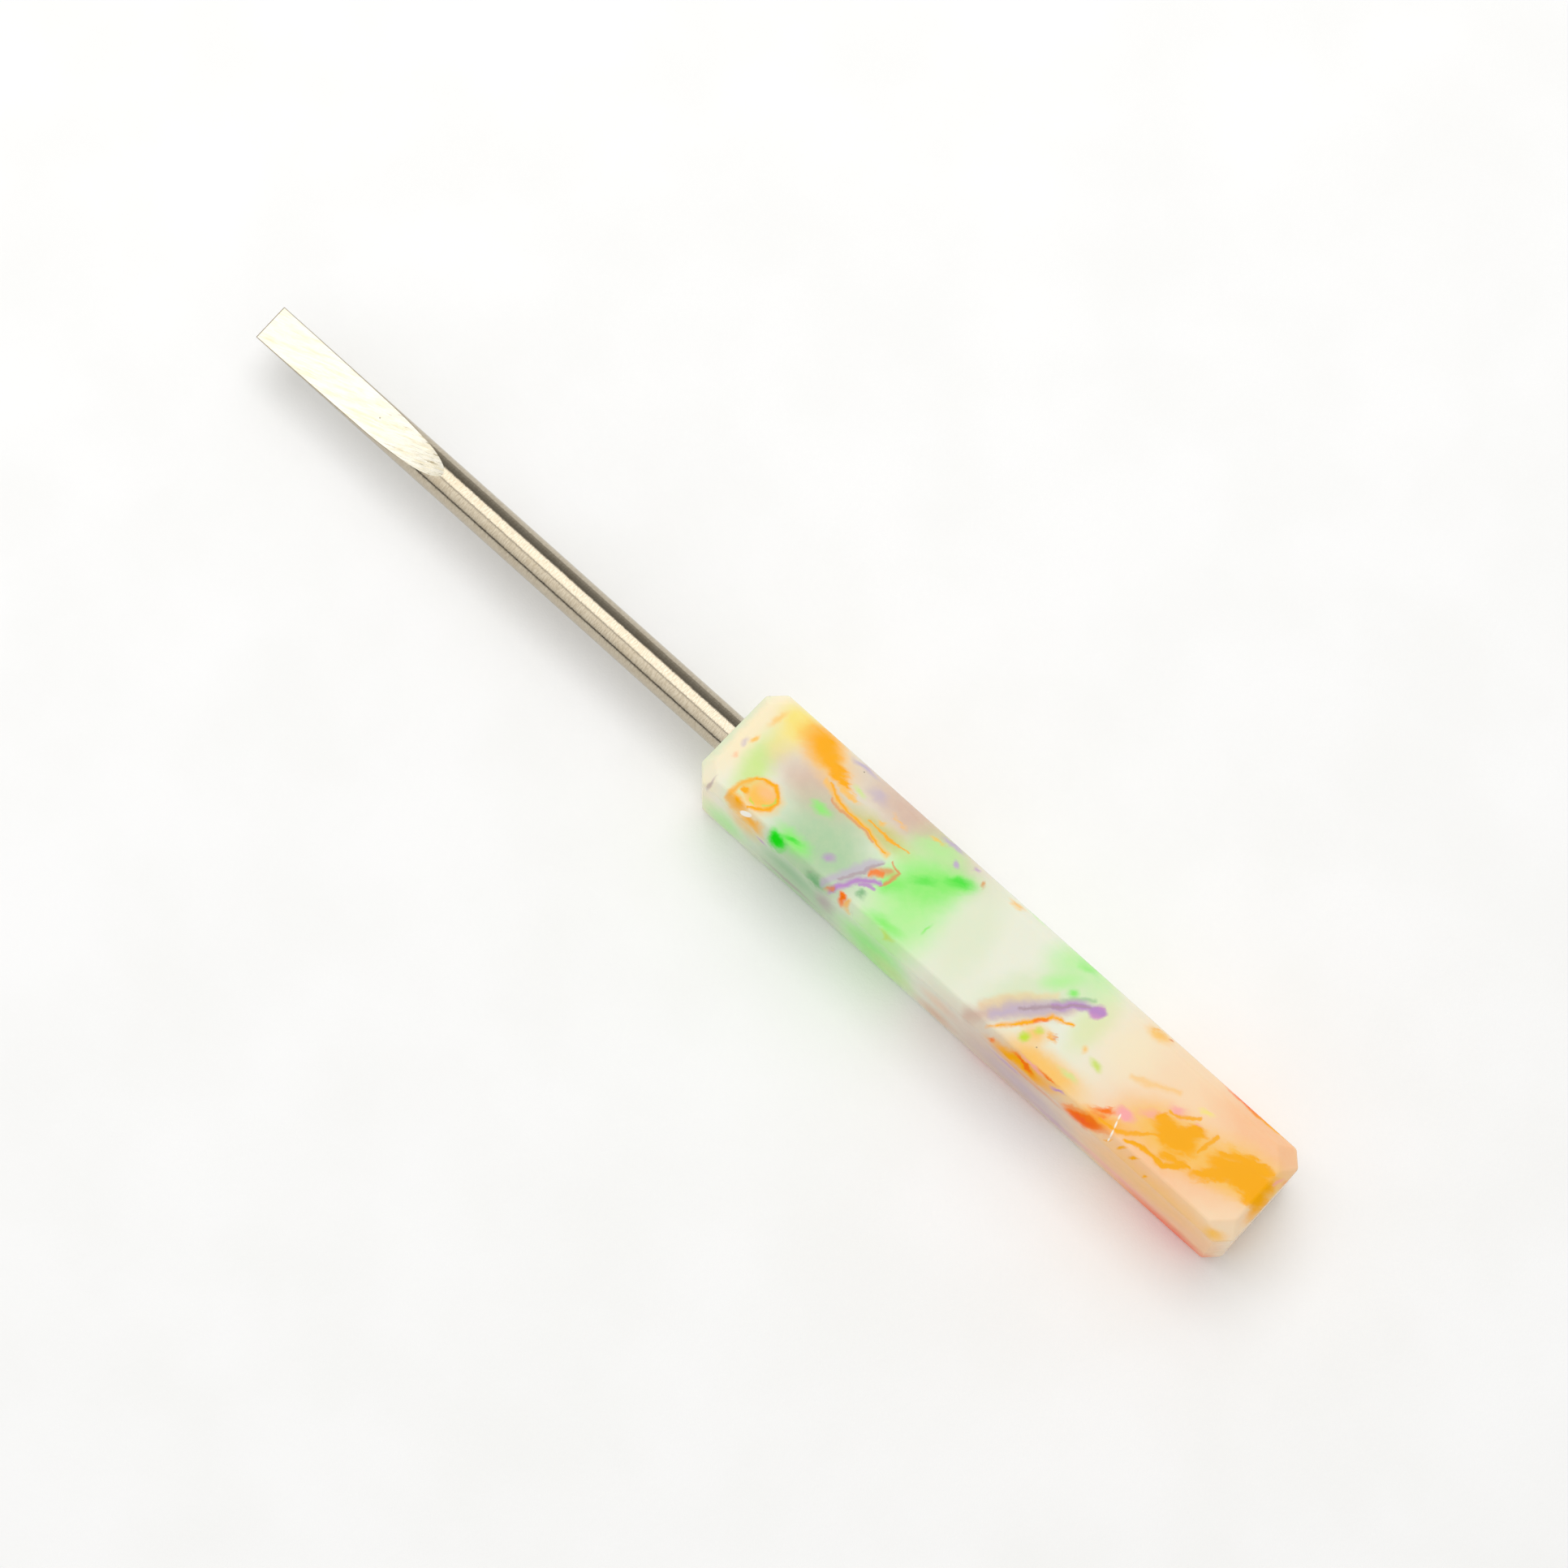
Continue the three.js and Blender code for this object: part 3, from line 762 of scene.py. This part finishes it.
def paint_hidden_sides(resin):
    """Swirls on the underside, the far side and the two ends, in the colours of their part
    of the bar. On the upright faces the strokes lean."""
    draw = random.Random(11)
    palettes = [
        (0, [YELLOW, ORANGE, PALE_LIME, MAUVE]),
        (9, [AMBER, LEAF, LAVENDER, GREY_GREEN, PLUM_GREY]),
        (20, [LEAF, DARK_GREEN, PURPLE, PALE_LEAF, RUST]),
        (33, [MILK, PALE_LEAF, AMBER]),
        (43, [LAVENDER, PALE_LEAF, AMBER, LIME, PLUM_GREY]),
        (54, [AMBER, ORANGE, PINK, PEACH]),
        (66, [ORANGE, AMBER, RED_ORANGE, SALMON]),
    ]
    # Each face: its name, how many strokes, and where along the handle they lie.
    faces = [("under", 30, 0, HANDLE_LENGTH), ("far", 30, 0, HANDLE_LENGTH),
             ("end", 7, HANDLE_LENGTH, HANDLE_LENGTH), ("end", 5, 0, 0)]
    for face, count, first, last in faces:
        for i in range(count):
            along = lerp(first, last, (i + draw.uniform(0.1, 0.9)) / count)
            palette = [colours for start, colours in palettes if along >= start][-1]
            colour = draw.choice(palette)
            length, breadth = draw.uniform(1.8, 6.5), draw.uniform(0.5, 1.7)
            turn = draw.choice((-1, 1)) * draw.uniform(10, 50)
            softness, strength = draw.uniform(0.7, 0.95), draw.uniform(0.5, 1)
            if face == "under":
                resin.stroke(colour, along, draw.uniform(-6, 6), 0, length, breadth,
                             draw.uniform(1.5, 3), turn, softness, strength, 3)
            elif face == "far":
                centre = resin.leant(along, -SIDE, draw.uniform(1, 10))
                resin.stroke(colour, *centre, length, 2, breadth, 0, softness, strength,
                             place=resin.leaning)
            else:
                centre = resin.leant(along, draw.uniform(-6, 6), draw.uniform(1, 11))
                resin.stroke(colour, *centre, 1.2, 0.5 * length, breadth, 0.3 * turn, softness,
                             strength, place=resin.leaning)


# Strokes on the +Y long side, where colours run down from the top, with red-orange bands along
# the foot:
# (colour, along, height, half-length, half-height, strength).
PLUS_Y_SIDE = [
    (CREAM, 2.0, 6.0, 5.0, 12.0, 0.8),
    (PALE_LEAF, 5.4, 4.0, 5.0, 6.0, 0.9),
    (AMBER, 8.2, 10.0, 3.4, 5.4, 0.9),
    (GREY_GREEN, 15.0, 6.0, 10.0, 12.0, 1),
    (PURPLE, 10.6, 9.8, 1.2, 0.8, 0.9),
    (DARK_GREEN, 15.5, 7.5, 6.0, 3.6, 0.6),
    (PLUM_GREY, 20.2, 8.0, 2.2, 5.0, 0.7),
    (PLUM_GREY, 15.0, 3.2, 6.0, 0.9, 0.6),
    (LEAF, 27.0, 6.5, 7.0, 8.4, 0.9),
    (PALE_LIME, 30.0, 4.0, 5.0, 4.0, 0.6),
    (RUST, 37.0, 3.0, 4.6, 3.0, 0.6),
    (SALMON, 37.4, 8.0, 4.0, 3.0, 0.5),
    (MAUVE, 48.0, 6.0, 18.0, 14.0, 1),
    (RUST, 50.0, 10.0, 9.0, 1.2, 0.8),
    (PURPLE, 47.0, 8.6, 3.4, 0.9, 0.6),
    (LAVENDER, 50.0, 5.0, 10.0, 4.0, 0.6),
    (PURPLE, 56.0, 2.6, 7.0, 1.8, 0.5),
    (AMBER, 70.0, 6.5, 19.0, 15.0, 0.6),
    (SALMON, 72.0, 5.5, 17.0, 9.0, 0.8),
    (AMBER, 68.0, 8.6, 9.0, 4.0, 0.5),
    (PINK, 64.0, 3.4, 10.0, 1.8, 0.6),
    (HOT_RED, 72.0, 0.7, 12.5, 4.2, 1),
    (HOT_RED, 47.0, 0.3, 14.0, 1.2, 0.7),
]


def paint_surface_marks(resin):
    """A small white fleck, a thin white streak and a few dark specks caught in the surface."""
    flat = resin.flat
    resin.stroke(WHITE_FLECK, 7.75, 6.42, TOP - 0.5, 0.8, 0.28, 1.6, -17, 0.25, 1, place=flat)
    white_streak = [(60.1, 3.4), (60.3, 4.2), (60.65, 5.2), (60.95, 6.2), (61.0, 6.5)]
    for (a, b), (c, d) in zip(white_streak, white_streak[1:]):
        half_length = math.hypot(c - a, d - b) / 2 + 0.1
        turn = math.degrees(math.atan2(d - b, c - a))
        resin.stroke(WHITE_FLECK, (a + c) / 2, (b + d) / 2, TOP - 0.3, half_length, 0.15, 1.2, turn,
                     0.6, 0.95, place=flat)
    for along, across, height in [(0.3, -5.5, 11.4), (0.9, -2.8, 11.9), (14.1, -5.9, TOP),
                                  (48.6, 4.2, TOP), (62.9, -5.9, TOP), (62.3, 7.2, 11.3)]:
        resin.stroke(SPECK, along, across, height, 0.12, 0.1, 0.3, 0, 0.8, 0.9, place=flat)


def resin_material():
    material, tree, shader = new_material("swirled_resin")
    resin = Resin(tree, linear(*MILK))
    for *shape, strength in ZONES:
        resin.stroke(*shape, ZONE_SOFTNESS, strength)
    # Fine milky clouding.
    cloud = noise(tree, resin.place, 0.9, 5, 0.65)
    clouding = smooth_step(tree, cloud, 0.35, 0.7, 0.0, 0.08)
    resin.colour = blend_colour(tree, clouding, resin.colour, linear(*CREAM))
    paint_hidden_sides(resin)
    for colour, along, height, length, tall, strength in PLUS_Y_SIDE:
        resin.stroke(colour, along, SIDE, height, length, 2, tall, 0, 0.95, strength, 1)
    for stroke in BLOBS:
        resin.stroke(*stroke)
    for along, across, half_length in BEVEL_DASHES:
        resin.stroke(ORANGE, along, across, 12, half_length, 0.24, 1, -42, 0.8, 1, 1)
    for trail in TRAILS:
        resin.trail(*trail)
    paint_surface_marks(resin)
    tree.links.new(resin.colour, shader.inputs["Base Color"])

    # Buffed surface: faint waves, hairline scratches along the handle and a fine grain.
    waves = noise(tree, resin.place, 0.22, 2)
    hairlines = noise(tree, stretched(tree, resin.place, (0.5, 9, 9), 4), 1.0, 3, 0.7)
    grain = noise(tree, resin.place, 7.0, 2)
    rough = smooth_step(tree, noise(tree, resin.place, 0.5, 3), 0.3, 0.7, 0.14, 0.26)
    tree.links.new(rough, shader.inputs["Roughness"])
    height = maths(tree, "ADD", maths(tree, "MULTIPLY", waves, 0.5),
                   maths(tree, "MULTIPLY", hairlines, 0.006))
    height = maths(tree, "ADD", height, maths(tree, "MULTIPLY", grain, 0.012))
    bump = add_node(tree, "ShaderNodeBump", {"Height": height, "Strength": 0.3,
                                             "Distance": 0.1 * MM})
    tree.links.new(bump.outputs[0], shader.inputs["Normal"])
    shader.inputs["Subsurface Weight"].default_value = 0.25
    shader.inputs["Subsurface Radius"].default_value = (1.0, 0.7, 0.5)
    shader.inputs["Subsurface Scale"].default_value = 0.9 * MM
    shader.inputs["IOR"].default_value = 1.5
    shader.inputs["Specular IOR Level"].default_value = 0.15
    return material


# ---------------------------------------------------------------- steel and glue
STEEL_COLOUR = (197, 187, 168)
STEEL_RING = (158, 144, 120)
STEEL_STAIN = (176, 158, 128)
FACE_COLOUR = (204, 200, 188)
FACE_TINT = (196, 184, 148)
FACE_SCORING = (140, 126, 92)
FACE_PIT = (80, 70, 55)
# Painted shade for the ground faces' long edges and tip.
FACE_EDGE_SHADE = (96, 84, 62)
GRINDING_ANGLE = -17  # degrees between the grinding lines and the blade
GLUE_COLOUR = (232, 214, 150)
GLUE_CLOUD = (196, 168, 98)
GLUE_BUBBLE = (246, 238, 205)


def steel_material():
    """Centreless-ground round stock: fine rings round the rod, slightly warm."""
    material, tree, shader = new_material("ground_steel_rod")
    place = place_in_mm(tree)
    rings = noise(tree, vector_maths(tree, "MULTIPLY", place, (9.0, 1.6, 1.6)), 1.0, 4, 0.65)
    coarse = noise(tree, vector_maths(tree, "MULTIPLY", place, (2.6, 0.5, 0.5)), 1.0, 2, 0.5)
    stain = noise(tree, place, 0.5, 4, 0.6)
    tone = smooth_step(tree, rings, 0.34, 0.66, 0.0, 0.5)
    colour = blend_colour(tree, tone, linear(*STEEL_COLOUR), linear(*STEEL_RING))
    tint = smooth_step(tree, stain, 0.5, 0.75, 0.0, 0.3)
    colour = blend_colour(tree, tint, colour, linear(*STEEL_STAIN))
    tree.links.new(colour, shader.inputs["Base Color"])
    rough = smooth_step(tree, rings, 0.3, 0.7, 0.08, 0.2)
    tree.links.new(rough, shader.inputs["Roughness"])
    height = maths(tree, "ADD", rings, maths(tree, "MULTIPLY", coarse, 1.2))
    bump = add_node(tree, "ShaderNodeBump", {"Height": height, "Strength": 0.9,
                                             "Distance": 0.02 * MM})
    tree.links.new(bump.outputs[0], shader.inputs["Normal"])
    shader.inputs["Metallic"].default_value = 1.0
    return material


def ground_face_material():
    """The blade's ground faces: diagonal grinding lines, straw tint and small pits."""
    material, tree, shader = new_material("ground_steel_face")
    place = place_in_mm(tree)
    lines = noise(tree, stretched(tree, place, (0.5, 9.0, 3.0), GRINDING_ANGLE), 1.0, 4, 0.7)
    gouges = noise(tree, stretched(tree, place, (0.32, 3.6, 1.0), GRINDING_ANGLE), 1.0, 3, 0.75)
    tint = noise(tree, stretched(tree, place, (0.22, 1.7, 1.0), GRINDING_ANGLE), 1.0, 5, 0.7)
    colour = blend_colour(tree, smooth_step(tree, tint, 0.42, 0.68, 0.0, 0.6),
                          linear(*FACE_COLOUR), linear(*FACE_TINT))
    along = add_node(tree, "ShaderNodeSeparateXYZ", {0: place}).outputs[0]
    towards_handle = smooth_step(tree, along, TIP_X - 14, TIP_X - 25)
    scored = maths(tree, "MULTIPLY", smooth_step(tree, gouges, 0.58, 0.72),
                   maths(tree, "ADD", maths(tree, "MULTIPLY", towards_handle, 0.7), 0.2))
    colour = blend_colour(tree, scored, colour, linear(*FACE_SCORING))
    pit_cells = add_node(tree, "ShaderNodeTexVoronoi", {"Vector": place, "Scale": 0.42})
    pits = smooth_step(tree, pit_cells.outputs["Distance"], 0.075, 0.04)
    colour = blend_colour(tree, pits, colour, linear(*FACE_PIT))
    # Painted shade: a fine dark line along the face's long edges and its tip, standing in for the
    # shading of their rounded edges.
    from_axis = vector_maths(tree, "SUBTRACT", place, (0, ROD_Y, ROD_Z))
    rise = vector_maths(tree, "DOT_PRODUCT", from_axis, BLADE_OUTWARD)
    across = maths(tree, "ABSOLUTE",
                   vector_maths(tree, "DOT_PRODUCT", from_axis, BLADE_SIDEWAYS))
    half_width = maths(tree, "SQRT", maths(tree, "SUBTRACT", ROD_RADIUS ** 2,
                                           maths(tree, "MULTIPLY", rise, rise)))
    from_edge = maths(tree, "SUBTRACT", half_width, across)
    edge = smooth_step(tree, from_edge, 0.1, 0.03)
    edge = maths(tree, "MULTIPLY", edge, smooth_step(tree, rise, 1.9, 1.3))
    edge = maths(tree, "MAXIMUM", edge, smooth_step(tree, along, TIP_X - 0.12, TIP_X - 0.05))
    colour = blend_colour(tree, edge, colour, linear(*FACE_EDGE_SHADE))
    tree.links.new(colour, shader.inputs["Base Color"])
    rough = smooth_step(tree, lines, 0.3, 0.7, 0.16, 0.34)
    tree.links.new(rough, shader.inputs["Roughness"])
    height = maths(tree, "SUBTRACT", lines, maths(tree, "MULTIPLY", scored, 1.5))
    height = maths(tree, "SUBTRACT", height, maths(tree, "MULTIPLY", pits, 3.0))
    bump = add_node(tree, "ShaderNodeBump", {"Height": height, "Strength": 0.35,
                                             "Distance": 0.008 * MM})
    tree.links.new(bump.outputs[0], shader.inputs["Normal"])
    shader.inputs["Metallic"].default_value = 1.0
    return material


def glue_material():
    """Amber glue with milky clouds and small pale bubbles."""
    material, tree, shader = new_material("hardened_glue")
    place = place_in_mm(tree)
    cloud = noise(tree, place, 1.4, 4, 0.6)
    colour = blend_colour(tree, smooth_step(tree, cloud, 0.35, 0.65), linear(*GLUE_COLOUR),
                          linear(*GLUE_CLOUD))
    bubbles = add_node(tree, "ShaderNodeTexVoronoi", {"Vector": place, "Scale": 3.0})
    bubble = smooth_step(tree, bubbles.outputs["Distance"], 0.16, 0.08)
    colour = blend_colour(tree, bubble, colour, linear(*GLUE_BUBBLE))
    tree.links.new(colour, shader.inputs["Base Color"])
    rough = smooth_step(tree, cloud, 0.3, 0.7, 0.14, 0.28)
    tree.links.new(rough, shader.inputs["Roughness"])
    bump = add_node(tree, "ShaderNodeBump", {"Height": bubble, "Strength": 0.4,
                                             "Distance": 0.02 * MM})
    tree.links.new(bump.outputs[0], shader.inputs["Normal"])
    shader.inputs["Subsurface Weight"].default_value = 0.3
    shader.inputs["Subsurface Scale"].default_value = 0.5 * MM
    return material


# ---------------------------------------------------------------- camera, light and floor
CAMERA_PLACE = Vector((-81.26, 96.15, 426.4))
CAMERA_TURN = (0.2837, -0.0229, -2.3944)
CAMERA_LENS = 90.07
SENSOR_WIDTH = 36


def make_camera():
    camera = bpy.data.objects.new("camera", bpy.data.cameras.new("camera"))
    bpy.context.scene.collection.objects.link(camera)
    camera.location = CAMERA_PLACE * MM
    camera.rotation_euler = CAMERA_TURN
    camera.data.lens = CAMERA_LENS
    camera.data.sensor_width = SENSOR_WIDTH
    camera.data.clip_start = 0.01
    camera.data.clip_end = 50
    bpy.context.scene.camera = camera


PAPER_WHITE = (254, 254, 254)
PAPER_SHADE = (251, 251, 250)


def paper_material():
    material, tree, shader = new_material("pale_paper")
    place = place_in_mm(tree)
    fibre = noise(tree, place, 0.9, 5, 0.65)
    mottle = noise(tree, place, 0.05, 3)
    colour = blend_colour(tree, smooth_step(tree, mottle, 0.3, 0.7), linear(*PAPER_WHITE),
                          linear(*PAPER_SHADE))
    tree.links.new(colour, shader.inputs["Base Color"])
    bump = add_node(tree, "ShaderNodeBump", {"Height": fibre, "Strength": 0.35,
                                             "Distance": 0.12 * MM})
    tree.links.new(bump.outputs[0], shader.inputs["Normal"])
    shader.inputs["Roughness"].default_value = 0.95
    shader.inputs["Specular IOR Level"].default_value = 0.1
    return material


FLOOR_HALF_SIZE = 4000
FLOOR_DROP = 0.02  # keeps the floor just clear of the handle's underside


def make_floor():
    bm = bmesh.new()
    bmesh.ops.create_grid(bm, x_segments=4, y_segments=4, size=FLOOR_HALF_SIZE)
    bmesh.ops.translate(bm, verts=bm.verts, vec=(0, 0, -FLOOR_DROP))
    floor = new_object("paper_floor", bm)
    floor.data.materials.append(paper_material())


def area_light(name, place, target, width, height, radiance):
    """A rectangular light that faces target and looks equally bright whatever its size."""
    data = bpy.data.lights.new(name, "AREA")
    data.shape = "RECTANGLE"
    data.size, data.size_y = width, height
    data.energy = radiance * math.pi * width * height
    lamp = bpy.data.objects.new(name, data)
    bpy.context.scene.collection.objects.link(lamp)
    lamp.location = place
    lamp.rotation_euler = (Vector(target) - Vector(place)).to_track_quat("-Z", "Y").to_euler()
    lamp.visible_camera = False
    return lamp


# Lights are placed in metres. The softbox's edges are angles from straight up towards +Y,
# seen from the tool.
SOFTBOX_X, SOFTBOX_HEIGHT, SOFTBOX_LENGTH = 0.28, 0.75, 0.75
SOFTBOX_EDGES = (-33, 17.5)
SOFTBOX_RADIANCE = 1.5
FILL_PLACE, FILL_SIZE, FILL_RADIANCE = (0.22, -0.42, 0.7), (0.6, 0.5), 0.9


def make_lights():
    """An overhead softbox that leans to the far side, and a fill that steel doesn't show."""
    near, far = [SOFTBOX_HEIGHT * math.tan(math.radians(angle)) for angle in SOFTBOX_EDGES]
    centre = (SOFTBOX_X, (near + far) / 2, SOFTBOX_HEIGHT)
    straight_down = (centre[0], centre[1], 0)
    area_light("overhead_softbox", centre, straight_down, SOFTBOX_LENGTH, far - near,
               SOFTBOX_RADIANCE)
    fill = area_light("key_fill", FILL_PLACE, (0, 0, 0), *FILL_SIZE, FILL_RADIANCE)
    fill.visible_glossy = False


# What the steel reflects, as pairs of (angle from straight up towards +Y, brightness).
ROOM_BANDS = [(-91, 0.42), (-70, 0.28), (-50, 0.18), (-34, 0.6), (17, 0.42), (24, 1.35),
              (45, 1.2), (62, 1.05), (72, 0.9), (80, 0.04)]
FIRST_BAND = 0.55
BAND_BLUR = 1.5
ROOM_GLOW = 0.62


def make_world():
    """A pale room: even light on matt things, and bands of light and dark in glossy ones."""
    world = bpy.data.worlds.new("room")
    bpy.context.scene.world = world
    world.use_nodes = True
    tree = world.node_tree
    tree.nodes.clear()
    direction = tree.nodes.new("ShaderNodeTexCoord").outputs["Generated"]
    split = add_node(tree, "ShaderNodeSeparateXYZ", {0: direction})
    angle = maths(tree, "ARCTAN2", split.outputs[1], split.outputs[2])
    degrees = maths(tree, "MULTIPLY", angle, 180 / math.pi)
    brightness = FIRST_BAND
    for start, value in ROOM_BANDS:
        step = smooth_step(tree, degrees, start - BAND_BLUR, start + BAND_BLUR)
        blend = add_node(tree, "ShaderNodeMix", {0: step, 2: brightness, 3: value})
        brightness = blend.outputs[0]
    ray = tree.nodes.new("ShaderNodeLightPath").outputs
    glow = add_node(tree, "ShaderNodeBackground",
                    {"Color": (1, 0.995, 0.98, 1), "Strength": ROOM_GLOW})
    bands = add_node(tree, "ShaderNodeBackground",
                     {"Color": (1, 0.985, 0.95, 1), "Strength": brightness})
    backdrop = add_node(tree, "ShaderNodeBackground",
                        {"Color": (0.95, 0.95, 0.95, 1), "Strength": 1.0})
    room = add_node(tree, "ShaderNodeMixShader",
                    {0: ray["Is Glossy Ray"], 1: glow.outputs[0], 2: bands.outputs[0]})
    room = add_node(tree, "ShaderNodeMixShader",
                    {0: ray["Is Camera Ray"], 1: room.outputs[0], 2: backdrop.outputs[0]})
    output = tree.nodes.new("ShaderNodeOutputWorld")
    tree.links.new(room.outputs[0], output.inputs["Surface"])


# ---------------------------------------------------------------- the scene
bpy.context.scene.view_settings.view_transform = "Standard"
make_camera()
make_floor()
make_lights()
make_world()
finish_piece(build_handle(), "resin_handle", "swirled_resin", resin_material())
finish_piece(build_shaft(), "steel_blade_shaft", "polished_steel", steel_material(),
             ground_face_material())
finish_piece(build_glue(), "glue_bond", "hardened_glue", glue_material())
